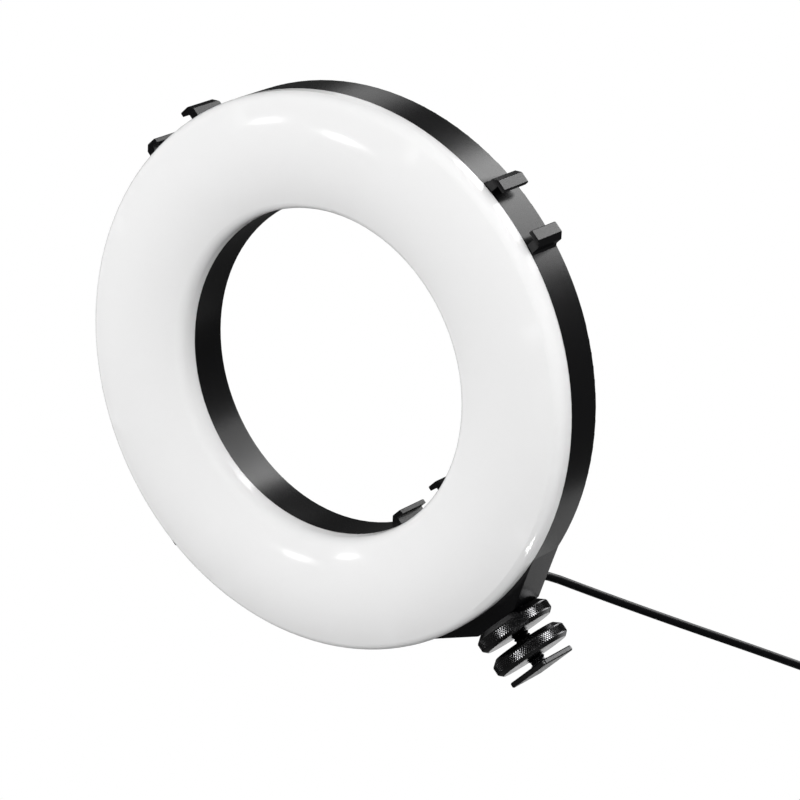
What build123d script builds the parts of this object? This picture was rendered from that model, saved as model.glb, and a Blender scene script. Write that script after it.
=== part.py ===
"""A 203 mm LED ring light on a threaded hot-shoe adapter, with a USB lead and in-line controller.

Millimetres. The origin is the centre of the shoe foot's underside, +Z goes up the stud to the
ring, and the light shines towards -Y. The ring's own parts are drawn in a ring frame, whose
z axis is the ring's axis (forwards is +z), and are then stood up by in_ring().
"""

import os
from math import asin, atan2, cos, degrees, hypot, pi, radians, sin, sqrt, tan

from build123d import *

os.makedirs("parts", exist_ok=True)

# Shoe foot and its threaded stud
foot_side = 18.5
foot_t = 2.0
foot_corner = 1.2
foot_edge = 0.4
foot_floor = 0.6
stud_d = 6.35
thread_pitch = 1.27
thread_core = 5.25
thread_segments = 16
stud_into_insert = 5.8
stud_root_flange = 0.8
thread_end_gap = 0.5

# Thumb nuts
nut_d = 29.2
nut_t = 6.5
nut_top_run = 2.5
nut_top_drop = 1.8
nut_low_run = 1.6
nut_low_rise = 1.2
nut_mouth = 0.4
knurl_count = 96
knurl_half_rows = 6
knurl_depth = 0.3
running_clear = 0.05

# Gaps along the stud
clamp_gap = 3.3
nut_gap = 3.4
jam_gap = 0.3

# Ring housing
ring_d = 203.0
hole_d = 119.8
housing_depth = 15.8
wall = 2.0
back_t = 2.0
rim_round = 0.5

# Pedestal under the ring
pedestal_drop = 5.5
pedestal_flat = 19.8
pedestal_slope = 27.0
pedestal_corner = 2.0

# Accessory rails, two facing each other at each place
rail_pair_width = 28.4
rail_height = 5.4
inner_rail_height = 4.2
rail_stem = 3.2
rail_top = 4.2
rail_bevel = 1.9
rail_lip_t = 1.65
rail_front_inset = 0.3
rail_back_inset = 0.5
rail_edge_round = 0.5
rail_end_round = 0.8
rail_root = 1.2
rail_root_fillet = 1.3

# Opal diffuser
skirt = 3.8
crown_rise = 8.3
crown_corner = 4.5
diffuser_wall = 1.6
lip_depth = 3.0
lip_t = 1.4
lip_flange_t = 1.2
lip_clear = 0.15

# Diffuser screws from the back
post_count = 8
post_angle = 22.5
post_d = 6.0
post_inset = 4.2
post_tip_gap = 0.1
boss_d = 7.6
boss_top = 3.0
m3_d = 3.0
m3_head_d = 5.6
m3_head_t = 1.9
m3_length = 10.0
head_sink = 0.3
screw_clear = 0.03
recess_w = 0.8
recess_depth = 1.0

# LED board
board_in_gap = 2.6
board_out_gap = 8.6
board_t = 1.6
board_front = 2.6
board_screw_count = 6
board_screw_angle = 0.0
board_screw_inset = 4.0
board_boss_d = 6.0
m25_d = 2.5
m25_head_d = 4.6
m25_head_t = 1.5
m25_length = 7.0
led_count = 36
led_l = 3.5
led_w = 2.8
led_t = 0.8
led_cool_share = 0.4
led_warm_share = 0.7

# Brass insert that takes the stud
insert_af = 11.0
insert_length = 6.2
insert_sink = 0.3

# Lead and its boot in the back of the housing
cord_d = 3.2
cord_slip = 0.05
exit_height = 34.5
boot_flange_d = 9.0
boot_flange_t = 1.2
boot_neck_d = 5.6
boot_grip_t = 1.4
boot_root_d = 7.2
boot_tip_d = 4.8
boot_length = 7.2
boot_groove = 0.5
boot_groove_count = 3
cord_inside = 3.0

# Surface that the unused lead lies on, below the foot
surface_z = -95.0

# In-line controller, its length along Y
controller_x = -76.0
controller_y = 137.0
controller_l = 62.0
controller_w = 22.0
controller_h = 11.0
controller_corner = 7.0
controller_edge = 1.2
case_t = 1.6
case_screw_inset = 6.0
case_boss_d = 4.4
m2_d = 2.0
m2_head_d = 3.8
m2_head_t = 1.2
m2_length = 6.0
controller_board_t = 1.2
controller_board_z = 2.8
board_margin = 0.6
button_pitch = 10.5
button_d = 7.0
button_hole_clear = 0.2
button_proud = 1.0
button_flange = 0.8
button_flange_t = 0.8
button_rest_gap = 0.1
button_travel = 0.4
button_round = 0.5
stem_d = 3.2
stem_clear = 0.2
stem_reach = 0.5
switch_side = 6.0
switch_h = 3.1
switch_well = 1.3
inline_boot_d = 6.2
inline_boot_tip = 4.6
inline_boot_l = 7.0
inline_boot_groove_w = 1.8
inline_boot_groove_d = 4.8
inline_boot_inside = 1.4

# Coil of the unused lead, wound in four layers
coil_layers = 4
coil_pitch = 3.85
coil_first_r = 22.3
coil_y = 74.0
coil_lift = 1.0
tie_w = 6.0
tie_t = 0.7
tie_gap = 0.25
tail_run = 12.0
tail_drop = 20.0
link_run = 9.0

# USB plug at the end of the lead
plug_y = 130.0
plug_body_l = 24.0
plug_body_w = 15.6
plug_body_h = 7.8
plug_body_corner = 2.4
plug_boot_l = 8.0
plug_boot_d = 5.6
shell_w = 12.0
shell_h = 4.5
shell_t = 0.3
shell_out = 18.7
shell_in = 3.0
tongue_h = 1.84
tongue_clear = 0.1
tongue_setback = 1.2
contact_w = 1.0
contact_pitch = 2.25

# Worked out from the values above
lower_nut_z = foot_t + clamp_gap
upper_nut_z = lower_nut_z + nut_t + nut_gap
pedestal_z = upper_nut_z + nut_t + jam_gap
ring_r = ring_d / 2
centre_drop = ring_r + pedestal_drop
ring_z = pedestal_z + centre_drop
hole_r = hole_d / 2
half_depth = housing_depth / 2
back_in = -half_depth + back_t
post_r = ring_r - wall - post_inset
board_inner = hole_r + wall + board_in_gap
board_outer = ring_r - wall - board_out_gap
board_screw_r = board_inner + board_screw_inset
led_cool_r = board_inner + led_cool_share * (board_outer - board_inner)
led_warm_r = board_inner + led_warm_share * (board_outer - board_inner)
cord_r = cord_d / 2
floor_cord_z = surface_z + cord_r
controller_axis_z = surface_z + controller_h / 2
coil_x = controller_x + coil_first_r
tail_x = coil_x + coil_first_r


def in_ring(shape):
    """Stands a shape of the ring frame up in its place."""
    return Pos(0, 0, ring_z) * Rot(90, 0, 0) * shape


def turned(points):
    """A ring turned from (radius, z) points about the z axis."""
    face = make_face(Polyline(*[(r, 0, z) for r, z in points], close=True))
    return revolve(face, Axis.Z)


def rod(diameter, z0, z1):
    """A round bar along z."""
    return Pos(0, 0, z0) * Cylinder(diameter / 2, z1 - z0, align=(Align.CENTER, Align.CENTER, Align.MIN))


def around(shape, radius, count, start):
    """Copies of a shape, evenly spaced on a circle about z."""
    return [Rot(0, 0, start + 360 / count * i) * Pos(radius, 0, 0) * shape for i in range(count)]


def faceted(triangles):
    """A solid bounded by flat faces, each given by its corners in order."""
    faces = [Face(Wire.make_polygon([Vector(*p) for p in corners], close=True)) for corners in triangles]
    return Solid(Shell(faces))


def one(shapes):
    """Separate solids as one node."""
    return Compound(children=list(shapes))


def pan_screw(shank_d, length, head_d, head_t):
    """A pan-head screw with a cross recess. Its head's underside is at z = 0 and it points to +z."""
    head = Pos(0, 0, -head_t) * Cylinder(
        head_d / 2, head_t, align=(Align.CENTER, Align.CENTER, Align.MIN)
    )
    head = fillet(head.edges().group_by(Axis.Z)[0], head_t * 0.45)
    screw = head + rod(shank_d, 0, length)
    screw = chamfer(screw.edges().group_by(Axis.Z)[-1], shank_d * 0.2)
    for turn in (0, 90):
        cut = Rot(0, 0, turn) * Pos(0, 0, -head_t) * Box(
            head_d * 0.6, recess_w, recess_depth * 2
        )
        screw = screw - cut
    return screw


def shoe_foot():
    plate = Pos(0, 0, foot_t / 2) * Box(foot_side, foot_side, foot_t)
    plate = fillet(plate.edges().filter_by(Axis.Z), foot_corner)
    plate = chamfer(plate.edges().group_by(Axis.Z)[0], foot_edge)
    plate = chamfer(plate.edges().group_by(Axis.Z)[-1], foot_edge)
    return plate - rod(thread_core, foot_floor, foot_t + 1)


def helical_thread(z0, turns):
    """A V thread of whole turns on a round core, flat faced, from z0 upwards."""
    n = thread_segments
    crest_r = stud_d / 2
    root_r = thread_core / 2
    below = (-thread_end_gap, root_r)
    above_z = z0 + (turns + 1) * thread_pitch + thread_end_gap

    def at(radius, k, lift):
        a = 2 * pi * (k % n) / n
        return (radius * cos(a), radius * sin(a), z0 + thread_pitch * k / n + lift)

    def ring(k, z):
        a = 2 * pi * (k % n) / n
        return (below[1] * cos(a), below[1] * sin(a), z)

    root = [at(root_r, k, 0) for k in range(n * (turns + 1) + 1)]
    crest = [at(crest_r, k, thread_pitch / 2) for k in range(n * turns + 1)]
    faces = []
    for k in range(n * turns):
        faces.append((root[k], root[k + 1], crest[k + 1]))
        faces.append((root[k], crest[k + 1], crest[k]))
        faces.append((crest[k], crest[k + 1], root[k + n + 1]))
        faces.append((crest[k], root[k + n + 1], root[k + n]))
    faces.append((root[0], crest[0], root[n]))
    last = n * turns
    faces.append((root[last], root[last + n], crest[last]))
    low = [ring(k, z0 - thread_end_gap) for k in range(n)]
    high = [ring(k, above_z) for k in range(n)]
    for k in range(n - 1):
        faces.append((low[k], low[k + 1], root[k + 1], root[k]))
        faces.append((root[last + k + 1], root[last + k + 2], high[(k + 2) % n], high[k + 1]))
    faces.append((low[n - 1], low[0], root[0], root[n], root[n - 1]))
    faces.append((root[last], root[last + 1], high[1], high[0], root[last + n]))
    faces.append(tuple(reversed(low)))
    faces.append(tuple(high))
    return faceted(faces)


def stud():
    top = pedestal_z + stud_into_insert
    start = foot_t + stud_root_flange + thread_end_gap
    turns = int((top - start - thread_end_gap) / thread_pitch) - 1
    z_end = start + (turns + 1) * thread_pitch + thread_end_gap
    shank = rod(thread_core, foot_floor, start - thread_end_gap + 0.2)
    collar = rod(stud_d, foot_t, foot_t + stud_root_flange)
    tip = rod(thread_core, z_end - 0.2, top)
    tip = chamfer(tip.edges().group_by(Axis.Z)[-1], 0.6)
    return helical_thread(start, turns) + shank + collar + tip


def thumb_nut(z0):
    """A flat nut with a diamond knurl between a wide top chamfer and a narrow lower one."""
    n = knurl_count
    crest = nut_d / 2
    root = crest - knurl_depth
    low_r = crest - nut_low_run
    top_r = crest - nut_top_run
    band0 = z0 + nut_low_rise
    row_h = (nut_t - nut_low_rise - nut_top_drop) / knurl_half_rows

    def at(radius, row, step):
        a = 2 * pi * step / n
        return (radius * cos(a), radius * sin(a), band0 + row_h * row)

    faces = []
    for j in range(n):
        for row in range(1, knurl_half_rows):
            mid = j + (0.5 if row % 2 == 0 else 0.0)
            left = at(root, row, mid - 0.5)
            right = at(root, row, mid + 0.5)
            low = at(root, row - 1, mid)
            high = at(root, row + 1, mid)
            tip = at(crest, row, mid)
            faces += [(low, right, tip), (right, high, tip), (high, left, tip), (left, low, tip)]
        last = knurl_half_rows
        shift = 0.5 if last % 2 else 0.0
        faces.append((at(root, 0, j), at(root, 0, j + 1), at(root, 1, j + 0.5)))
        faces.append((at(root, last, j + 1 + shift), at(root, last, j + shift), at(root, last - 1, j + 0.5 + shift)))
    bottom = [(low_r * cos(2 * pi * j / n), low_r * sin(2 * pi * j / n), z0) for j in range(n)]
    top = [(top_r * cos(2 * pi * j / n), top_r * sin(2 * pi * j / n), z0 + nut_t) for j in range(n)]
    for j in range(n):
        k = (j + 1) % n
        faces.append((bottom[j], bottom[k], at(root, 0, k), at(root, 0, j)))
        faces.append((at(root, last, j), at(root, last, k), top[k], top[j]))
    faces.append(tuple(reversed(bottom)))
    faces.append(tuple(top))
    nut = faceted(faces)
    bore_r = stud_d / 2 + running_clear
    nut = nut - Pos(0, 0, z0) * Cylinder(bore_r, nut_t * 3)
    for z, way in ((z0, 1), (z0 + nut_t, -1)):
        mouth = Cone(bore_r + nut_mouth, bore_r, nut_mouth)
        if way < 0:
            mouth = Rot(180, 0, 0) * mouth
        nut = nut - Pos(0, 0, z + way * nut_mouth / 2) * mouth
    return nut


def rail(side, outer):
    """One L-shaped rail in the (tangent, outwards) plane, drawn along z. side is +1 or -1."""
    edge = rail_pair_width / 2
    base = ring_r if outer else hole_r
    sign = 1 if outer else -1
    flare = edge + rail_root_fillet
    sunk = base - sign * rail_root
    datum = sqrt(base**2 - (edge - rail_stem / 2) ** 2)
    top = datum + sign * (rail_height if outer else inner_rail_height)
    under = top - sign * rail_lip_t
    wall_n = sqrt(base**2 - flare**2)
    bend = rail_root_fillet * (1 - sqrt(0.5))

    def at(t, n):
        return (side * t, n)

    rest = [
        (edge, top - sign * rail_bevel),
        (edge - rail_bevel, top),
        (edge - rail_bevel - rail_top, top),
        (edge - rail_bevel - rail_top, under),
        (edge - rail_stem, under),
        (edge - rail_stem, sqrt(sunk**2 - edge**2)),
        (flare, sqrt(sunk**2 - flare**2)),
        (flare, wall_n),
    ]
    start = (edge, wall_n + sign * rail_root_fillet)
    corner = (edge + bend, wall_n + sign * bend)
    if not outer:
        start = (edge, top - sign * rail_bevel)
        rest = rest[1:]
    lines = [at(*p) for p in [start, *rest]]
    outline = Polyline(*lines).edges()
    if outer:
        outline.append(ThreePointArc(at(flare, wall_n), at(*corner), at(*start)))
    else:
        outline.append(Line(at(flare, wall_n), at(*start)))
    face = make_face(Wire(outline))
    length = housing_depth - rail_front_inset - rail_back_inset
    bar = Pos(0, 0, -half_depth + rail_back_inset) * extrude(face, length)
    bar = fillet(beyond(bar.edges().filter_by(Axis.Z), under, sign), rail_edge_round)
    return fillet(beyond(bar.edges().group_by(Axis.Z)[0], under, sign), rail_end_round)


def beyond(edges, level, sign):
    """The edges whose middle lies further out along y than a level, or further in for sign -1."""
    return [edge for edge in edges if sign * (edge.center().Y - level) > 0.05]


def pedestal_outline():
    """Half points of the pedestal's front view, out to inside the ring's wall."""
    bottom = -centre_drop
    half = pedestal_flat / 2
    run = ring_r * sin(radians(18.5)) - half
    rise = run * tan(radians(pedestal_slope))
    return [(half, bottom), (half + run, bottom + rise), (half + run, -ring_r * cos(radians(18.5)) + 3.0)]


def pedestal():
    right = pedestal_outline()
    left = [(-x, y) for x, y in reversed(right)]
    face = make_face(Polyline(*(right + left), close=True))
    block = Pos(0, 0, -half_depth) * extrude(face, housing_depth)
    corners = block.edges().filter_by(Axis.Z).group_by(Axis.Y)[0]
    block = fillet(corners, pedestal_corner)
    return block - Cylinder(ring_r - wall / 2, housing_depth * 3)


def hex_prism(across_flats, z0, z1):
    """A hexagonal bar along z."""
    face = RegularPolygon(across_flats / sqrt(3), 6)
    return Pos(0, 0, z0) * extrude(face, z1 - z0)


def insert_pocket(clear):
    """The hexagonal insert's envelope in the part's frame."""
    return hex_prism(insert_af + 2 * clear, pedestal_z + insert_sink, pedestal_z + insert_sink + insert_length)


def housing():
    section = [
        (hole_r, -half_depth),
        (ring_r, -half_depth),
        (ring_r, half_depth),
        (ring_r - wall, half_depth),
        (ring_r - wall, back_in),
        (hole_r + wall, back_in),
        (hole_r + wall, half_depth),
        (hole_r, half_depth),
    ]
    shell = turned(section)
    back_rims = shell.edges().filter_by(GeomType.CIRCLE).group_by(Axis.Z)[0]
    shell = fillet(back_rims, rim_round)
    pieces = [pedestal()]
    for turn in (0, 90, 180):
        pieces += [Rot(0, 0, turn - 90) * rail(side, True) for side in (1, -1)]
    pieces += [Rot(0, 0, 180) * rail(side, False) for side in (1, -1)]
    post_boss = rod(boss_d, back_in - back_t / 2, -boss_top)
    board_boss = rod(board_boss_d, back_in - back_t / 2, board_front - board_t)
    pieces += around(post_boss, post_r, post_count, post_angle)
    pieces += around(board_boss, board_screw_r, board_screw_count, board_screw_angle)
    shell = shell.fuse(*pieces)
    cuts = around(rod(m3_d + 2 * screw_clear, -half_depth - 1, 0), post_r, post_count, post_angle)
    sink = head_sink + m3_head_t
    cuts += around(
        rod(m3_head_d + 0.6, -half_depth - 1, -half_depth + sink), post_r, post_count, post_angle
    )
    pilot = rod(m25_d + 2 * screw_clear, board_front - board_t - m25_length, board_front)
    cuts += around(pilot, board_screw_r, board_screw_count, board_screw_angle)
    boot_at = Pos(0, exit_height - ring_z, 0)
    cuts.append(boot_at * rod(boot_neck_d + 2 * cord_slip, -half_depth - 1, back_in + 1))
    shell = shell.cut(*cuts)
    standing = in_ring(shell)
    standing = standing - insert_pocket(0.02)
    return standing - rod(stud_d + 1.0, pedestal_z - 1, pedestal_z + insert_sink + 1)


def crown_arcs(inset):
    """Radii of the crown's corner and top arcs for a section shrunk all round by inset."""
    half = (ring_r - hole_r) / 2 - inset
    corner = crown_corner - inset
    rise = crown_rise - inset
    top = ((half - corner) ** 2 + rise**2 - corner**2) / (2 * (rise - corner))
    return half, corner, top, rise


def dome_face(inset, z0):
    """The diffuser's section from z0 to the crown: straight skirts, round corners, a flat arc on top."""
    mid = (ring_r + hole_r) / 2
    spring = half_depth + skirt
    half, corner, top, rise = crown_arcs(inset)
    centre_z = spring + rise - top
    lean = asin((half - corner) / (top - corner))
    join_x = top * sin(lean)
    join_z = centre_z + top * cos(lean)
    mid_turn = (pi / 2 - lean) / 2
    corner_x = half - corner
    bulge_x = corner_x + corner * cos(mid_turn)
    bulge_z = spring + corner * sin(mid_turn)

    def p(x, z):
        return (mid + x, 0, z)

    outline = [
        Line(p(-half, z0), p(-half, spring)),
        ThreePointArc(p(-half, spring), p(-bulge_x, bulge_z), p(-join_x, join_z)),
        ThreePointArc(p(-join_x, join_z), p(0, spring + rise), p(join_x, join_z)),
        ThreePointArc(p(join_x, join_z), p(bulge_x, bulge_z), p(half, spring)),
        Line(p(half, spring), p(half, z0)),
        Line(p(half, z0), p(-half, z0)),
    ]
    return make_face(Wire(outline))


def diffuser():
    outside = revolve(dome_face(0, half_depth), Axis.Z)
    inside = revolve(dome_face(diffuser_wall, half_depth - 1), Axis.Z)
    posts = around(rod(post_d, -boss_top + post_tip_gap, half_depth + skirt + crown_rise), post_r, post_count, post_angle)
    posts = [post & outside_post() for post in posts]
    shell = outside - inside
    low = half_depth - lip_depth
    high = half_depth + lip_flange_t
    outer = ring_r - wall - lip_clear
    inner = hole_r + wall + lip_clear
    lips = [
        turned([(outer - lip_t, low), (outer, low), (outer, high), (outer - lip_t, high)]),
        turned([(inner, low), (inner + lip_t, low), (inner + lip_t, high), (inner, high)]),
        turned([(outer - lip_t, half_depth), (ring_r - 0.5, half_depth), (ring_r - 0.5, high), (outer - lip_t, high)]),
        turned([(hole_r + 0.5, half_depth), (inner + lip_t, half_depth), (inner + lip_t, high), (hole_r + 0.5, high)]),
    ]
    shell = shell.fuse(*lips, *posts)
    pilots = around(rod(m3_d + 2 * screw_clear, -half_depth, m3_length), post_r, post_count, post_angle)
    return in_ring(shell.cut(*pilots))


def outside_post():
    """What the posts may fill: everything under the middle of the diffuser's wall."""
    crown = revolve(dome_face(diffuser_wall / 2, half_depth), Axis.Z)
    below = turned(
        [
            (hole_r, -half_depth),
            (ring_r, -half_depth),
            (ring_r, half_depth + 0.01),
            (hole_r, half_depth + 0.01),
        ]
    )
    return crown + below


def led_board():
    back = board_front - board_t
    corners = [(board_inner, back), (board_outer, back), (board_outer, board_front), (board_inner, board_front)]
    board = turned(corners)
    hole = rod(m25_d + 0.4, back - 1, board_front + 1)
    board = board.cut(*around(hole, board_screw_r, board_screw_count, board_screw_angle))
    return in_ring(board)


def leds(radius, start):
    chip = Pos(0, 0, board_front + led_t / 2) * Box(led_w, led_l, led_t)
    return in_ring(one(around(chip, radius, led_count, start)))


def board_screws():
    screw = Pos(0, 0, board_front) * Rot(180, 0, 0) * pan_screw(m25_d, m25_length - 0.5, m25_head_d, m25_head_t)
    return in_ring(one(around(screw, board_screw_r, board_screw_count, board_screw_angle)))


def diffuser_screws():
    screw = Pos(0, 0, -half_depth + head_sink + m3_head_t) * pan_screw(m3_d, m3_length, m3_head_d, m3_head_t)
    return in_ring(one(around(screw, post_r, post_count, post_angle)))


def threaded_insert():
    block = insert_pocket(0)
    block = chamfer(block.edges().group_by(Axis.Z)[0], 0.4)
    return block - rod(stud_d + 2 * running_clear, pedestal_z - 1, pedestal_z + stud_into_insert + 0.5)


def boot():
    """The soft boot that the lead leaves the housing through, drawn along z from the back plate."""
    tip = boot_length
    body = turned(
        [
            (0, -back_t - boot_grip_t),
            (boot_flange_d / 2 - 1.0, -back_t - boot_grip_t),
            (boot_flange_d / 2 - 0.6, -back_t),
            (boot_neck_d / 2, -back_t),
            (boot_neck_d / 2, 0),
            (boot_flange_d / 2, 0),
            (boot_flange_d / 2, boot_flange_t * 0.6),
            (boot_flange_d / 2 - 0.5, boot_flange_t),
            (boot_root_d / 2, boot_flange_t),
            (boot_tip_d / 2, tip),
            (0, tip),
        ]
    )
    free = tip - boot_flange_t
    for i in range(boot_groove_count):
        z = boot_flange_t + free * (i + 0.75) / (boot_groove_count + 0.5)
        body = body - (rod(boot_flange_d * 2, z, z + boot_groove) - rod(boot_tip_d, z - 1, z + 2))
    body = body - rod(cord_d + 2 * cord_slip, -back_t - boot_grip_t - 1, tip + 1)
    return Pos(0, half_depth, exit_height) * Rot(-90, 0, 0) * body


def tube(points, name):
    """A lead through chosen points: straight runs joined by the largest arcs that they leave room for."""
    runs = [hypot(*[b - a for a, b in zip(p, q)]) for p, q in zip(points, points[1:])]
    radii = []
    turns = []
    for i in range(1, len(points) - 1):
        a = Vector(*points[i]) - Vector(*points[i - 1])
        b = Vector(*points[i + 1]) - Vector(*points[i])
        turn = a.get_angle(b)
        turns.append(turn)
        radii.append(0.45 * min(runs[i - 1], runs[i]) / tan(radians(turn) / 2))
    path = FilletPolyline(*points, radius=radii)
    start = Vector(*points[1]) - Vector(*points[0])
    face = Plane(origin=points[0], z_dir=start) * Circle(cord_r)
    solid = sweep(face, path=path)
    share = solid.volume / (pi * cord_r**2 * path.length)
    print(name, "length", round(path.length, 1), "volume share", round(share, 4))
    print("  runs", [round(r, 1) for r in runs])
    print("  turns", [round(t, 1) for t in turns])
    print("  radii", [round(r, 1) for r in radii])
    return solid


def lead_route():
    """From inside the housing, out of the boot, down to the surface and round to the controller."""
    end_y = controller_y + controller_l / 2
    x = controller_x
    low = floor_cord_z
    return [
        (0, half_depth - back_t - cord_inside, exit_height),
        (0, 24.5, exit_height),
        (0, 48.0, 15.9),
        (0, 78.0, -6.9),
        (0, 112.0, -32.0),
        (0, 147.0, -58.5),
        (0, 178.0, -81.0),
        (-1.0, 206.0, low),
        (-16.0, 229.0, low),
        (-50.0, 231.0, low),
        (x + 2.5, 212.0, low),
        (x, 190.0, controller_axis_z),
        (x, end_y - 2.0, controller_axis_z),
    ]


def cord_lead():
    return tube(lead_route(), "cord_lead")


def link_route():
    """From the controller down into the coil's bottom layer."""
    start_y = controller_y - controller_l / 2
    low = coil_z(0)
    return [
        (controller_x, start_y + 2.0, controller_axis_z),
        (controller_x, start_y - 9.5, controller_axis_z),
        (controller_x, coil_y + cord_d + link_run, low),
        (controller_x, coil_y + cord_d, low),
    ]


def cord_link():
    return tube(link_route(), "cord_link")


def coil_z(layer):
    """Height of a layer's centre line."""
    return surface_z + coil_lift + cord_r + layer * coil_pitch


def coil_crossings():
    """Where the turns cross the coil's x axis: (signed x, z), one for each half turn."""
    p = coil_pitch
    r = coil_first_r
    inward = [0, 0.5, 1, 1.5, 2, 2.5]
    outward = [2.75, 2, 1.5, 1, 0.5, 0]
    marks = []
    for layer in range(coil_layers):
        steps = list(inward if layer % 2 == 0 else outward)
        if layer > 0 and layer % 2 == 0:
            steps[0] = -0.25
        marks += [(r - p * s, coil_z(layer)) for s in steps]
    return [((-1) ** (k + 1) * radius, z) for k, (radius, z) in enumerate(marks)]


def cord_coil():
    """Half turns between the crossings, each square to the coil's x axis at both ends."""
    marks = coil_crossings()
    centre = Vector(coil_x, coil_y, 0)
    points = [centre + Vector(x, 0, z) for x, z in marks]
    side = -1
    edges = [Line(points[0] - Vector(0, side * cord_d, 0), points[0])]
    for a, b in zip(points, points[1:]):
        middle = (a + b) * 0.5
        top = middle + Vector(0, side * (b - a).length / 2, 0)
        edges.append(ThreePointArc(a, top, b))
        side = -side
    edges.append(Line(points[-1], points[-1] + Vector(0, side * cord_d, 0)))
    path = Wire(edges)
    face = Plane(origin=edges[0] @ 0, z_dir=(0, -1, 0)) * Circle(cord_r)
    solid = sweep(face, path=path)
    share = solid.volume / (pi * cord_r**2 * path.length)
    print("cord_coil length", round(path.length, 1), "volume share", round(share, 4))
    print("  least gap to itself", round(least_gap(edges), 2))
    return solid


def least_gap(edges):
    """The least distance between stretches of the lead that aren't next to each other, less its diameter."""
    points = []
    travelled = 0.0
    for edge in edges:
        count = max(2, int(edge.length / 1.5))
        for i in range(count):
            p = edge @ (i / count)
            points.append((travelled + edge.length * i / count, p.X, p.Y, p.Z))
        travelled += edge.length
    best = 1e9
    for i, a in enumerate(points):
        for b in points[i + 1 :]:
            if b[0] - a[0] > 6 * cord_d:
                best = min(best, hypot(a[1] - b[1], a[2] - b[2], a[3] - b[3]))
    return best - cord_d


def cord_tail():
    """From the coil's top layer down to the plug."""
    start = coil_y + cord_d
    top = coil_z(coil_layers - 1)
    axis_z = surface_z + plug_body_h / 2
    points = [
        (tail_x, start, top),
        (tail_x, start + tail_run, top),
        (tail_x, plug_y - tail_drop, axis_z),
        (tail_x, plug_y - 2.0, axis_z),
    ]
    return tube(points, "cord_tail")


def coil_tie():
    """A strap round the bundle of turns, on the side away from the plug."""
    marks = [abs(x) for x, _ in coil_crossings()]
    mids = [(a + b) / 2 for a, b in zip(marks, marks[1:])][::2]
    inner = min(mids) - cord_r
    outer = max(mids) + cord_r + tie_gap
    inner = sqrt(inner**2 - (tie_w / 2 + coil_pitch / 4) ** 2) - tie_gap
    low = coil_z(0) - cord_r - tie_gap
    high = coil_z(coil_layers - 1) + cord_r + tie_gap
    depth = outer - inner
    height = high - low
    band = RectangleRounded(depth + 2 * tie_t, height + 2 * tie_t, cord_r + tie_t)
    hole = RectangleRounded(depth, height, cord_r)
    loop = extrude(band - hole, tie_w / 2, both=True)
    place = Pos(coil_x, coil_y - (inner + outer) / 2, (low + high) / 2)
    return place * Rot(0, 0, 90) * Rot(90, 0, 0) * loop


def controller_place(shape):
    """Puts a shape drawn about the case's middle, with z = 0 at its underside, into place."""
    return Pos(controller_x, controller_y, surface_z) * shape


def rounded_slab(width, length, height, corner):
    """A block with round upright corners, standing on z = 0."""
    return extrude(RectangleRounded(width, length, corner), height)


def case_outside():
    body = rounded_slab(controller_w, controller_l, controller_h, controller_corner)
    ends = body.edges().group_by(Axis.Z)
    body = chamfer(ends[-1], controller_edge * 0.6)
    return chamfer(body.edges().group_by(Axis.Z)[0], controller_edge * 0.6)


def case_hollow():
    hollow = rounded_slab(
        controller_w - 2 * case_t,
        controller_l - 2 * case_t,
        controller_h - 2 * case_t,
        controller_corner - case_t,
    )
    return Pos(0, 0, case_t) * hollow


def cable_holes():
    """The round holes at both ends, on the parting line."""
    bar = Cylinder(inline_boot_groove_d / 2 + cord_slip, controller_l + 10)
    return Pos(0, 0, controller_h / 2) * Rot(90, 0, 0) * bar


def half_space(upper):
    z = controller_h * (0.75 if upper else 0.25)
    return Pos(0, 0, z) * Box(controller_w * 2, controller_l * 2, controller_h / 2)


def case_screw_y():
    return controller_l / 2 - case_screw_inset


def button_ys():
    return [button_pitch * (i - 1.5) for i in range(4)]


def controller_upper():
    shell = (case_outside() - case_hollow()) & half_space(True)
    ceiling = controller_h - case_t
    board_top = controller_board_z + controller_board_t
    for side in (-1, 1):
        shell = shell + Pos(0, side * case_screw_y(), 0) * rod(case_boss_d, controller_h / 2, ceiling + 0.2)
        post = Pos(side * (controller_w / 2 - case_t - 2.2), 0, 0) * rod(2.4, board_top, ceiling + 0.2)
        shell = shell + post
    cuts = [cable_holes()]
    for side in (-1, 1):
        cuts.append(Pos(0, side * case_screw_y(), 0) * rod(m2_d + 2 * screw_clear, 0, ceiling - 0.8))
    for y in button_ys():
        cuts.append(Pos(0, y, 0) * rod(button_d + 2 * button_hole_clear, ceiling - 1, controller_h + 1))
    return controller_place(shell.cut(*cuts))


def controller_lower():
    shell = (case_outside() - case_hollow()) & half_space(False)
    for side in (-1, 1):
        shell = shell + Pos(0, side * case_screw_y(), 0) * rod(case_boss_d + 1.4, case_t / 2, controller_h / 2)
        rib_w = controller_w - case_t
        rib = Box(rib_w, 1.4, controller_board_z - case_t / 2, align=(Align.CENTER, Align.CENTER, Align.MIN))
        shell = shell + Pos(0, side * button_pitch, case_t / 2) * rib
    cuts = [cable_holes()]
    for side in (-1, 1):
        at = Pos(0, side * case_screw_y(), 0)
        cuts.append(at * rod(m2_d + 2 * screw_clear, -1, controller_h))
        cuts.append(at * rod(m2_head_d + 0.4, -1, m2_head_t + head_sink))
    return controller_place(shell.cut(*cuts))


def controller_board():
    width = controller_w - 2 * case_t - 2 * board_margin
    length = 2 * (case_screw_y() - case_boss_d / 2 - board_margin - 0.7)
    board = rounded_slab(width, length, controller_board_t, 0.8)
    return controller_place(Pos(0, 0, controller_board_z) * board)


def tact_switches():
    base = controller_board_z + controller_board_t
    body = extrude(RectangleRounded(switch_side, switch_side, 0.5), switch_h)
    body = body - rod(stem_d + 2 * stem_clear, switch_h - switch_well, switch_h + 1)
    return controller_place(one([Pos(0, y, base) * body for y in button_ys()]))


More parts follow.
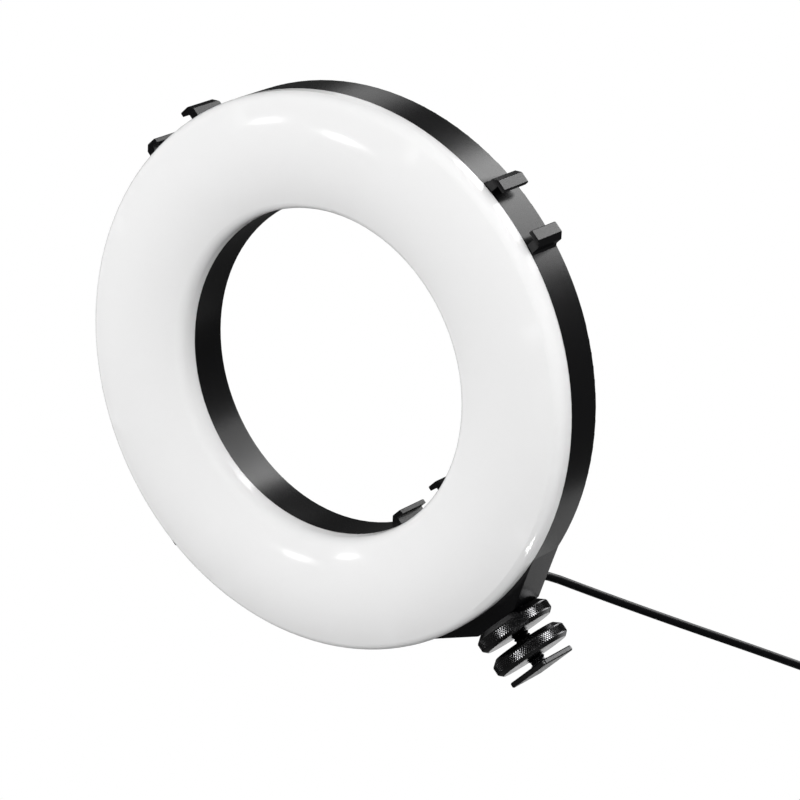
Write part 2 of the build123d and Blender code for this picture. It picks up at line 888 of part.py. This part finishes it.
def symbol(kind):
    """A mark sunk into a button's top, drawn on z = 0."""
    bar = 3.0
    line = 0.5
    if kind == "plus":
        return [Box(bar, line, 0.4), Box(line, bar, 0.4)]
    if kind == "minus":
        return [Box(bar, line, 0.4)]
    ring = Cylinder(bar / 2, 0.4) - Cylinder(bar / 2 - line, 1)
    if kind == "power":
        return [ring - Pos(0, bar / 2, 0) * Box(line * 3, bar / 2, 1), Pos(0, bar / 3, 0) * Box(line, bar / 2, 0.4)]
    return [ring]


def button(index, kind):
    """A round push button with its retaining flange and the stem that works the switch."""
    ceiling = controller_h - case_t
    top = controller_h + button_proud
    flange_top = ceiling - button_rest_gap
    flange_low = flange_top - button_flange_t
    switch_top = controller_board_z + controller_board_t + switch_h
    cap = rod(button_d, flange_top - 0.1, top)
    cap = fillet(cap.edges().group_by(Axis.Z)[-1], button_round)
    cap = cap + rod(button_d + 2 * button_flange, flange_low, flange_top)
    cap = cap + rod(stem_d, switch_top - stem_reach, flange_low + 0.1)
    for mark in symbol(kind):
        cap = cap - Pos(0, 0, top) * Rot(0, 0, 90) * mark
    return controller_place(Pos(0, button_ys()[index], 0) * cap)


def controller_screws():
    screw = pan_screw(m2_d, m2_length, m2_head_d, m2_head_t)
    seat = Pos(0, 0, head_sink + m2_head_t)
    return controller_place(one([Pos(0, side * case_screw_y(), 0) * seat * screw for side in (-1, 1)]))


def controller_boots():
    """The soft ends of the case, held in its end walls."""
    inside = -case_t - inline_boot_inside
    profile = [
        (cord_d / 2 + cord_slip, inside),
        (inline_boot_d / 2, inside),
        (inline_boot_d / 2, -case_t - 0.1),
        (inline_boot_groove_d / 2, -case_t - 0.1),
        (inline_boot_groove_d / 2, 0.1),
        (inline_boot_d / 2, 0.1),
        (inline_boot_d / 2, 1.2),
        (inline_boot_tip / 2, inline_boot_l),
        (cord_d / 2 + cord_slip, inline_boot_l),
    ]
    boot_piece = turned(profile)
    out = []
    for side in (-1, 1):
        place = Pos(0, side * controller_l / 2, controller_h / 2) * Rot(-90 * side, 0, 0)
        out.append(place * boot_piece)
    return controller_place(one(out))


def plug_place(shape):
    """Puts a shape drawn about the plug's axis, forwards along y, into place."""
    return Pos(tail_x, plug_y, surface_z + plug_body_h / 2) * shape


def shell_box(grow, y0, y1):
    """The envelope of the plug's metal shell, between two places on y."""
    box = Box(shell_w + 2 * grow, y1 - y0, shell_h + 2 * grow)
    return Pos(0, (y0 + y1) / 2, 0) * box


def usb_overmould():
    body = Pos(0, 0, -plug_body_h / 2) * Rot(0, 0, 0) * extrude(
        Pos(0, plug_body_l / 2) * RectangleRounded(plug_body_w, plug_body_l, plug_body_corner), plug_body_h
    )
    body = chamfer(body.edges().group_by(Axis.Z)[0], 0.8)
    body = chamfer(body.edges().group_by(Axis.Z)[-1], 0.8)
    neck = turned(
        [(0, -1.0), (plug_body_h * 0.46, -1.0), (plug_boot_d / 2, plug_boot_l), (0, plug_boot_l)]
    )
    body = body + Rot(90, 0, 0) * neck
    grip = Box(plug_body_w * 2, 0.7, plug_body_h * 2) - Box(plug_body_w - 0.8, 2, plug_body_h - 0.8)
    for i in range(5):
        body = body - Pos(0, 7.0 + 2.2 * i, 0) * grip
    body = body - Rot(90, 0, 0) * rod(cord_d + 2 * cord_slip, 0.5, plug_boot_l + 1)
    return plug_place(body - shell_box(0.02, plug_body_l - shell_in, plug_body_l + 1))


def usb_shell():
    y0 = plug_body_l - shell_in
    y1 = plug_body_l + shell_out
    shell = shell_box(0, y0, y1) - shell_box(-shell_t, y0 - 1, y1 + 1)
    for x in (-2.9, 2.9):
        shell = shell - Pos(x, y1 - 6.5, 0) * Box(2.4, 2.2, shell_h * 2)
    return plug_place(shell)


def tongue_size():
    width = shell_w - 2 * shell_t - 2 * tongue_clear
    y0 = plug_body_l - shell_in
    return width, y0, plug_body_l + shell_out - tongue_setback


def usb_tongue():
    width, y0, y1 = tongue_size()
    floor = -shell_h / 2 + shell_t + 0.02
    tongue = Pos(0, (y0 + y1) / 2, floor + tongue_h / 2) * Box(width, y1 - y0, tongue_h)
    return plug_place(tongue)


def usb_contacts():
    _, y0, y1 = tongue_size()
    top = -shell_h / 2 + shell_t + 0.02 + tongue_h
    strips = []
    for i in range(4):
        length = (y1 - y0) - 6.0
        strip = Pos(contact_pitch * (i - 1.5), y1 - 1.5 - length / 2, top + 0.1) * Box(contact_w, length, 0.2)
        strips.append(strip)
    return plug_place(one(strips))


def build():
    return {
        "shoe_foot": shoe_foot(),
        "stud": stud(),
        "lower_thumb_nut": thumb_nut(lower_nut_z),
        "upper_thumb_nut": thumb_nut(upper_nut_z),
        "housing": housing(),
        "diffuser": diffuser(),
        "led_board": led_board(),
        "leds_cool": leds(led_cool_r, 180.0 / led_count),
        "leds_warm": leds(led_warm_r, 0.0),
        "board_screws": board_screws(),
        "diffuser_screws": diffuser_screws(),
        "threaded_insert": threaded_insert(),
        "cord_boot": boot(),
        "cord_lead": cord_lead(),
        "cord_link": cord_link(),
        "cord_coil": cord_coil(),
        "cord_tail": cord_tail(),
        "coil_tie": coil_tie(),
        "controller_upper": controller_upper(),
        "controller_lower": controller_lower(),
        "controller_board": controller_board(),
        "tact_switches": tact_switches(),
        "controller_screws": controller_screws(),
        "controller_boots": controller_boots(),
        "button_power": button(0, "power"),
        "button_dimmer": button(1, "minus"),
        "button_brighter": button(2, "plus"),
        "button_colour": button(3, "ring"),
        "usb_overmould": usb_overmould(),
        "usb_shell": usb_shell(),
        "usb_tongue": usb_tongue(),
        "usb_contacts": usb_contacts(),
    }


for node, shape in build().items():
    export_step(shape, f"parts/{node}.step")
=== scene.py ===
"""Looks of the LED ring light: its materials, its lead, the camera and a plain studio.

Metres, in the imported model's frame: the origin is the centre of the shoe foot's underside, +Z goes
up the stud to the ring, and the light shines towards -Y.
"""

from math import cos, pi, radians, sin

import bpy
from mathutils import Matrix, Vector


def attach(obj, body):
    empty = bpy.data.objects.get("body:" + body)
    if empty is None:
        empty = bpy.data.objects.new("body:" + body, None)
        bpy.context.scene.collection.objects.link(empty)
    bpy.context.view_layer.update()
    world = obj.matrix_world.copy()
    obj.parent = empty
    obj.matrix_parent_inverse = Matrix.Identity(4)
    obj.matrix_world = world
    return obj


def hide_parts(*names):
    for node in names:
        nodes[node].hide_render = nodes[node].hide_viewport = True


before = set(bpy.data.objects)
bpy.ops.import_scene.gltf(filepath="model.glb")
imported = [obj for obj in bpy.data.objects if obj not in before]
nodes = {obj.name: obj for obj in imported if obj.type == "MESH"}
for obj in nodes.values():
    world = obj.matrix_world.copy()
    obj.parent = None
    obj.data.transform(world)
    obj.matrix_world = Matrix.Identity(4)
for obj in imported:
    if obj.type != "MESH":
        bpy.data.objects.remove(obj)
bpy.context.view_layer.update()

MM = 0.001
WHITE = (1.0, 1.0, 1.0, 1.0)

# Camera, from a fit to the ring's rims, the foot, the nuts and the rails
CAMERA_PLACE = (0.8752, -1.10719, -0.08552)
CAMERA_RIGHT = (0.611358, 0.570925, -0.547984)
CAMERA_DOWN = (-0.505676, -0.250805, -0.825463)
CAMERA_FORWARD = (-0.608714, 0.781756, 0.135371)
LENS_MM = 180.98
SENSOR_MM = 36.0

# Ring, lead, coil and plug, as in the model (mm)
LEAD_D = 3.2
EXIT_Z = 34.5
RING_Z = 129.0
FLOOR_Z = -95.0
LEAD_LOW = FLOOR_Z + LEAD_D / 2
CONTROLLER_X = -76.0
CONTROLLER_Z = -89.5
CONTROLLER_Y = (106.0, 168.0)
COIL_FIRST_R = 22.3
COIL_PITCH = 3.85
COIL_LAYERS = 4
COIL_LIFT = 1.0
COIL_Y = 74.0
COIL_X = CONTROLLER_X + COIL_FIRST_R
TAIL_X = COIL_X + COIL_FIRST_R
PLUG_Y = 130.0
PLUG_Z = -91.1
STEP_DEG = 30.0

# Studio: metres, degrees and radiances
FLOOR_HALF = 1.5
FLOOR_GLOW = 0.25
WALL_WHITE = 1.0
ROOM_LEVEL = 0.055
BEHIND_LEVEL = 1.5
BEHIND_AT = (86.0, 4.0)
BEHIND_FULL_TO = 9.0
BEHIND_FADES_TO = 19.0
TENT_SIDE = 3.2
TENT_REACH = 1.6
TENT_LIFT = 0.8


def direction(azimuth, elevation):
    """A unit vector from degrees; azimuth 0 is +X and 90 is +Y."""
    a = radians(azimuth)
    e = radians(elevation)
    return Vector((cos(a) * cos(e), sin(a) * cos(e), sin(e)))


def make_camera():
    """The photograph's own viewing angle."""
    data = bpy.data.cameras.new("camera")
    data.lens = LENS_MM
    data.sensor_width = SENSOR_MM
    data.clip_start = 0.05
    data.clip_end = 50.0
    camera = bpy.data.objects.new("camera", data)
    right = Vector(CAMERA_RIGHT)
    up = -Vector(CAMERA_DOWN)
    back = -Vector(CAMERA_FORWARD)
    turn = Matrix((right, up, back)).transposed()
    camera.matrix_world = Matrix.Translation(CAMERA_PLACE) @ turn.to_4x4()
    bpy.context.scene.collection.objects.link(camera)
    bpy.context.scene.camera = camera


def coil_z(layer):
    """The height of a layer's line."""
    return FLOOR_Z + COIL_LIFT + LEAD_D / 2 + layer * COIL_PITCH


def coil_crossings():
    """Where the turns cross the coil's x axis: (signed x, z), one for each half turn."""
    # Pitches in from the first radius; a layer after the first starts a quarter pitch aside
    first = (0, 0.5, 1, 1.5, 2, 2.5)
    outward = (2.75, 2, 1.5, 1, 0.5, 0)
    inward = (-0.25, 0.5, 1, 1.5, 2, 2.5)
    marks = []
    for layer in range(COIL_LAYERS):
        steps = outward if layer % 2 else inward if layer else first
        marks += [(COIL_FIRST_R - COIL_PITCH * step, coil_z(layer)) for step in steps]
    return [((-1) ** (k + 1) * radius, z) for k, (radius, z) in enumerate(marks)]


def coil_points():
    """Twelve points a turn, set out so that the spline's line keeps each half turn's radius."""
    marks = coil_crossings()
    points = []
    side = -1
    for (xa, za), (xb, zb) in zip(marks, marks[1:]):
        middle = (xa + xb) / 2
        half = (xa - xb) / 2
        reach = half / cos(radians(STEP_DEG / 2))
        for k in range(round(180 / STEP_DEG)):
            turned = radians(STEP_DEG * (k + 0.5))
            x = middle + reach * cos(turned)
            y = side * abs(reach) * sin(turned)
            z = za + (zb - za) * (1 - cos(turned)) / 2
            points.append((COIL_X + x, COIL_Y + y, z))
        side = -side
    return points


def lead_points():
    """From inside the housing, down to the surface, through the controller, round the coil to the plug."""
    start, end = CONTROLLER_Y
    top = coil_z(COIL_LAYERS - 1)
    down = [
        (0, 2.9, EXIT_Z),
        (0, 24.5, EXIT_Z),
        (0, 48.0, 15.9),
        (0, 78.0, -6.9),
        (0, 112.0, -32.0),
        (0, 147.0, -58.5),
        (0, 178.0, -81.0),
        (-1.0, 206.0, LEAD_LOW),
        (-16.0, 229.0, LEAD_LOW),
        (-50.0, 231.0, LEAD_LOW),
        (CONTROLLER_X + 2.5, 212.0, LEAD_LOW),
        (CONTROLLER_X, 190.0, CONTROLLER_Z),
        (CONTROLLER_X, end - 2.0, CONTROLLER_Z),
    ]
    link = [
        (CONTROLLER_X, start + 2.0, CONTROLLER_Z),
        (CONTROLLER_X, start - 9.5, CONTROLLER_Z),
        (CONTROLLER_X, COIL_Y + LEAD_D + 9.0, coil_z(0)),
        (CONTROLLER_X, COIL_Y + LEAD_D, coil_z(0)),
    ]
    tail = [
        (TAIL_X, COIL_Y + LEAD_D, top),
        (TAIL_X, COIL_Y + LEAD_D + 12.0, top),
        (TAIL_X, PLUG_Y - 20.0, PLUG_Z),
        (TAIL_X, PLUG_Y - 2.0, PLUG_Z),
    ]
    return down + link + coil_points() + tail


def make_lead():
    """One round cord in place of the model's four stretches of tube."""
    curve = bpy.data.curves.new("lead", "CURVE")
    curve.dimensions = "3D"
    # The bevel is 1, so that each point's radius is the lead's own
    curve.bevel_depth = 1.0
    curve.bevel_resolution = 6
    curve.use_fill_caps = True
    spline = curve.splines.new("NURBS")
    points = lead_points()
    spline.points.add(len(points) - 1)
    for point, (x, y, z) in zip(spline.points, points):
        point.co = (x * MM, y * MM, z * MM, 1.0)
        point.radius = LEAD_D / 2 * MM
    spline.order_u = 3
    spline.use_endpoint_u = True
    spline.resolution_u = 6
    lead = bpy.data.objects.new("lead", curve)
    bpy.context.scene.collection.objects.link(lead)
    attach(lead, "head")
    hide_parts("cord_lead", "cord_link", "cord_coil", "cord_tail")
    return lead


def scaled(tone, factor):
    return tuple(part * factor for part in tone)


class Surface:
    """A node material: a principled shader with procedural colour, roughness and relief."""

    def __init__(self, name, roughness, metallic=0.0, ior=1.5):
        self.material = bpy.data.materials.new(name)
        self.material.use_nodes = True
        self.tree = self.material.node_tree
        self.shader = self.tree.nodes["Principled BSDF"]
        self.shader.inputs["Roughness"].default_value = roughness
        self.shader.inputs["Metallic"].default_value = metallic
        self.shader.inputs["IOR"].default_value = ior
        self.place = self.tree.nodes.new("ShaderNodeTexCoord").outputs["Object"]

    def link(self, source, node, name):
        self.tree.links.new(source, node.inputs[name])

    def noise(self, scale, detail=3.0, rough=0.5, source=None):
        node = self.tree.nodes.new("ShaderNodeTexNoise")
        node.inputs["Scale"].default_value = scale
        node.inputs["Detail"].default_value = detail
        node.inputs["Roughness"].default_value = rough
        self.link(source or self.place, node, "Vector")
        return node.outputs["Fac"]

    def spread(self, source, low, high, to_low, to_high):
        node = self.tree.nodes.new("ShaderNodeMapRange")
        node.inputs["From Min"].default_value = low
        node.inputs["From Max"].default_value = high
        node.inputs["To Min"].default_value = to_low
        node.inputs["To Max"].default_value = to_high
        self.link(source, node, "Value")
        return node.outputs["Result"]

    def mix(self, source, first, second):
        """A colour from first, a tone or another node's colour, to the tone second, by the source."""
        node = self.tree.nodes.new("ShaderNodeMix")
        node.data_type = "RGBA"
        if isinstance(first, tuple):
            node.inputs["A"].default_value = (*first, 1.0)
        else:
            self.link(first, node, "A")
        node.inputs["B"].default_value = (*second, 1.0)
        self.link(source, node, "Factor")
        return node.outputs["Result"]

    def paint(self, colour):
        self.link(colour, self.shader, "Base Color")

    def polish(self, noise, low, high):
        """The roughness goes from low to high over the range that noise mostly keeps to."""
        self.link(self.spread(noise, 0.3, 0.7, low, high), self.shader, "Roughness")

    def relief(self, source, depth, strength=0.5):
        """Bumps of a depth in metres."""
        node = self.tree.nodes.new("ShaderNodeBump")
        node.inputs["Distance"].default_value = depth
        node.inputs["Strength"].default_value = strength
        self.link(source, node, "Height")
        self.link(node.outputs["Normal"], self.shader, "Normal")


def moulded(name, tone, roughness, grain=2600.0, depth=0.000012):
    """Injection-moulded plastic with a fine spark-eroded grain."""
    surface = Surface(name, roughness)
    clouds = surface.noise(45.0)
    surface.paint(surface.mix(clouds, scaled(tone, 0.85), scaled(tone, 1.15)))
    surface.polish(clouds, roughness * 0.92, roughness * 1.08)
    surface.relief(surface.noise(grain, 2.0), depth, 0.6)
    return surface.material


def opal():
    """Milky diffuser moulding with a polished skin."""
    surface = Surface("opal_diffuser", 0.12, ior=1.49)
    clouds = surface.noise(28.0, 2.0)
    surface.paint(surface.mix(clouds, (0.898, 0.897, 0.897), (0.918, 0.917, 0.917)))
    surface.polish(clouds, 0.11, 0.13)
    surface.relief(surface.noise(60.0, 2.0), 0.00002, 0.35)
    inputs = surface.shader.inputs
    inputs["Subsurface Weight"].default_value = 0.5
    inputs["Subsurface Radius"].default_value = (1.0, 1.0, 1.0)
    inputs["Subsurface Scale"].default_value = 0.006
    return surface.material


def anodised(name, tone, worn, roughness):
    """Black finished metal, brighter where its crests have rubbed."""
    surface = Surface(name, roughness, metallic=1.0)
    clouds = surface.noise(420.0, 4.0, 0.6)
    sharp = surface.tree.nodes.new("ShaderNodeNewGeometry").outputs["Pointiness"]
    crest = surface.spread(sharp, 0.53, 0.62, 0.0, 1.0)
    surface.paint(surface.mix(crest, surface.mix(clouds, tone, scaled(tone, 1.5)), worn))
    surface.polish(clouds, roughness * 0.85, roughness * 1.15)
    surface.relief(surface.noise(3800.0, 2.0), 0.000008)
    return surface.material


def plain_metal(name, tone, roughness):
    """Turned or drawn metal with fine scratches along one way."""
    surface = Surface(name, roughness, metallic=1.0)
    stretch = surface.tree.nodes.new("ShaderNodeMapping")
    stretch.inputs["Scale"].default_value = (1.0, 0.08, 1.0)
    surface.link(surface.place, stretch, "Vector")
    fine = surface.noise(5200.0, 3.0, 0.6, stretch.outputs["Vector"])
    surface.paint(surface.mix(fine, scaled(tone, 0.9), scaled(tone, 1.08)))
    surface.polish(fine, roughness * 0.8, roughness * 1.2)
    surface.relief(fine, 0.000004)
    return surface.material


def rubber(name, tone, roughness, ior=1.5):
    """Soft vinyl with a faint orange peel."""
    surface = Surface(name, roughness, ior=ior)
    clouds = surface.noise(120.0)
    surface.paint(surface.mix(clouds, scaled(tone, 0.85), scaled(tone, 1.2)))
    surface.polish(clouds, roughness * 0.9, roughness * 1.1)
    surface.relief(surface.noise(1400.0, 2.0), 0.00001)
    return surface.material


def board_green():
    """Solder mask over faint copper tracks."""
    surface = Surface("board_green", 0.32)
    brick = surface.tree.nodes.new("ShaderNodeTexBrick")
    brick.inputs["Scale"].default_value = 260.0
    brick.inputs["Mortar Size"].default_value = 0.06
    surface.link(surface.place, brick, "Vector")
    tracks = brick.outputs["Fac"]
    surface.paint(surface.mix(tracks, (0.012, 0.09, 0.035), (0.02, 0.15, 0.06)))
    surface.relief(tracks, 0.00003)
    return surface.material


def dress(material, *names):
    for name in names:
        mesh = nodes[name].data
        mesh.materials.clear()
        mesh.materials.append(material)


def dress_lamp():
    """The ring, the nuts, the stud and the foot."""
    nut = anodised("nut_black", (0.08, 0.08, 0.082), (0.18, 0.18, 0.184), 0.26)
    screw = plain_metal("black_zinc", (0.1, 0.1, 0.105), 0.35)
    dress(moulded("housing_black", (0.002, 0.002, 0.0023), 0.26), "housing")
    dress(opal(), "diffuser")
    dress(nut, "lower_thumb_nut", "upper_thumb_nut")
    dress(anodised("foot_black", (0.05, 0.05, 0.052), (0.2, 0.2, 0.2), 0.35), "shoe_foot")
    dress(anodised("stud_black", (0.03, 0.03, 0.032), (0.3, 0.3, 0.31), 0.3), "stud")
    dress(screw, "diffuser_screws", "board_screws", "controller_screws")
    dress(plain_metal("brass", (0.72, 0.52, 0.22), 0.3), "threaded_insert")
    dress(moulded("board_white", (0.8, 0.81, 0.8), 0.45), "led_board")
    dress(moulded("phosphor_cool", (0.85, 0.75, 0.2), 0.35), "leds_cool")
    dress(moulded("phosphor_warm", (0.85, 0.5, 0.12), 0.35), "leds_warm")


def dress_lead(lead):
    """The lead and what lies on it."""
    vinyl = rubber("lead_vinyl", (0.0025, 0.0025, 0.003), 0.4, ior=1.3)
    boots = rubber("boot_rubber", (0.008, 0.008, 0.009), 0.5)
    shells = moulded("controller_black", (0.008, 0.008, 0.009), 0.42, 2200.0, 0.00002)
    keys = moulded("button_grey", (0.16, 0.165, 0.17), 0.4)
    lead.data.materials.append(vinyl)
    dress(boots, "cord_boot", "controller_boots", "usb_overmould", "coil_tie")
    dress(shells, "controller_upper", "controller_lower")
    dress(board_green(), "controller_board")
    dress(moulded("switch_black", (0.02, 0.02, 0.02), 0.4), "tact_switches")
    dress(keys, "button_power", "button_dimmer", "button_brighter", "button_colour")
    dress(plain_metal("plug_steel", (0.62, 0.62, 0.63), 0.22), "usb_shell")
    dress(moulded("tongue_white", (0.75, 0.75, 0.72), 0.35), "usb_tongue")
    dress(plain_metal("contact_gold", (0.83, 0.62, 0.25), 0.25), "usb_contacts")


def make_floor():
    """A pale floor under the lead, with a weak glow that keeps it white; it neither shades nor lights."""
    size = FLOOR_HALF
    z = FLOOR_Z * MM
    mesh = bpy.data.meshes.new("floor")
    corners = [(-size, -size, z), (size, -size, z), (size, size, z), (-size, size, z)]
    mesh.from_pydata(corners, [], [(0, 1, 2, 3)])
    floor = bpy.data.objects.new("floor", mesh)
    bpy.context.scene.collection.objects.link(floor)
    floor.visible_glossy = False
    floor.visible_diffuse = False
    floor.visible_shadow = False
    surface = Surface("floor_pale", 0.7)
    surface.paint(surface.mix(surface.noise(6.0), (0.86, 0.86, 0.86), (0.88, 0.88, 0.88)))
    surface.shader.inputs["Emission Color"].default_value = WHITE
    surface.shader.inputs["Emission Strength"].default_value = FLOOR_GLOW
    mesh.materials.append(surface.material)


def make_world():
    """White walls for the eye; for the object, a dim room with one soft light straight behind it."""
    world = bpy.data.worlds.new("studio")
    bpy.context.scene.world = world
    world.use_nodes = True
    tree = world.node_tree
    place = tree.nodes.new("ShaderNodeTexCoord")
    dot = tree.nodes.new("ShaderNodeVectorMath")
    dot.operation = "DOT_PRODUCT"
    dot.inputs[1].default_value = direction(*BEHIND_AT)
    tree.links.new(place.outputs["Generated"], dot.inputs[0])
    glow = tree.nodes.new("ShaderNodeMapRange")
    glow.interpolation_type = "SMOOTHSTEP"
    glow.inputs["From Min"].default_value = cos(radians(BEHIND_FADES_TO))
    glow.inputs["From Max"].default_value = cos(radians(BEHIND_FULL_TO))
    glow.inputs["To Min"].default_value = ROOM_LEVEL
    glow.inputs["To Max"].default_value = BEHIND_LEVEL
    tree.links.new(dot.outputs["Value"], glow.inputs["Value"])
    eye = tree.nodes.new("ShaderNodeLightPath")
    pick = tree.nodes.new("ShaderNodeMix")
    pick.data_type = "FLOAT"
    tree.links.new(eye.outputs["Is Camera Ray"], pick.inputs["Factor"])
    tree.links.new(glow.outputs["Result"], pick.inputs["A"])
    pick.inputs["B"].default_value = WALL_WHITE
    background = tree.nodes["Background"]
    tree.links.new(pick.outputs["Result"], background.inputs["Strength"])
    background.inputs["Color"].default_value = WHITE


def panel(name, place, target, width, height, radiance):
    """A rectangular area light of an even radiance, facing a target, its sides level and upright."""
    data = bpy.data.lights.new(name, "AREA")
    data.shape = "RECTANGLE"
    data.size = width
    data.size_y = height
    data.energy = radiance * pi * width * height
    light = bpy.data.objects.new(name, data)
    light.visible_camera = False
    back = (place - target).normalized()
    right = Vector((0, 0, 1)).cross(back)
    # A panel straight above takes +X as its level side
    right = right.normalized() if right.length > 0.01 else Vector((1, 0, 0))
    turn = Matrix((right, back.cross(right), back)).transposed()
    light.matrix_world = Matrix.Translation(place) @ turn.to_4x4()
    bpy.context.scene.collection.objects.link(light)
    return light


def make_tent(centre):
    """Diffusing sheets, which light the object softly and don't mirror in it."""
    # Name, azimuth, elevation, side, radiance
    sheets = (
        ("sheet_front", -90, 0, TENT_SIDE, 1.5),
        ("sheet_left", 180, 0, TENT_SIDE, 0.6),
        ("sheet_right", 0, 0, TENT_SIDE, 0.74),
        ("sheet_top", -90, 90, TENT_SIDE, 0.24),
        ("sheet_left_high", 180, 45, TENT_SIDE / 2, 0.95),
        ("sheet_right_low", 0, -30, TENT_SIDE / 2, 2.35),
    )
    for name, azimuth, elevation, side, radiance in sheets:
        place = centre + direction(azimuth, elevation) * TENT_REACH
        lift = Vector((0, 0, TENT_LIFT if elevation == 0 else 0))
        sheet = panel(name, place + lift, centre + lift, side, side, radiance)
        sheet.visible_glossy = False


def make_softboxes(centre):
    """Two small boxes in front for the dome's highlights, and a tall one that rims the ring from behind."""
    # Name, azimuth, elevation, distance, width, height, radiance
    boxes = (
        ("key_high", -116.9, 37.0, 6.0, 0.46, 0.4, 10.5),
        ("key_low", -108.3, 26.1, 6.0, 0.46, 0.48, 10.5),
        ("rim", 66.2, 10.5, 4.0, 1.96, 2.22, 4.7),
    )
    for name, azimuth, elevation, distance, width, height, radiance in boxes:
        place = centre + direction(azimuth, elevation) * distance
        panel(name, place, centre, width, height, radiance)


def make_cards():
    """Small white cards near the object that only show as reflections."""
    # Name, place, target, side, radiance
    cards = (
        ("card_under", (-0.0915, 0.1155, -0.011), (0.0, 0.0, 0.01), 0.065, 0.85),
        ("card_low", (-0.037, 0.183, -0.079), (0.041, 0.0, 0.036), 0.1, 0.5),
        ("card_high", (0.045, 0.237, 0.375), (0.078, 0.0, 0.194), 0.085, 0.85),
        ("card_knurl_right", (0.0272, -0.0223, -0.007), (0.0137, -0.0051, 0.0135), 0.012, 22.0),
        ("card_knurl_left", (0.0844, -0.0048, -0.048), (0.006, -0.013, 0.0135), 0.03, 0.5),
    )
    for name, place, target, side, radiance in cards:
        card = panel(name, Vector(place), Vector(target), side, side, radiance)
        card.visible_diffuse = False


def make_studio():
    """The floor, the walls and the lights, centred on the ring."""
    centre = Vector((0, 0, RING_Z * MM))
    make_floor()
    make_world()
    make_tent(centre)
    make_softboxes(centre)
    make_cards()
    settings = bpy.context.scene.view_settings
    settings.view_transform = "Standard"
    settings.look = "None"


make_camera()
lead = make_lead()
dress_lamp()
dress_lead(lead)
make_studio()

bpy.context.view_layer.update()
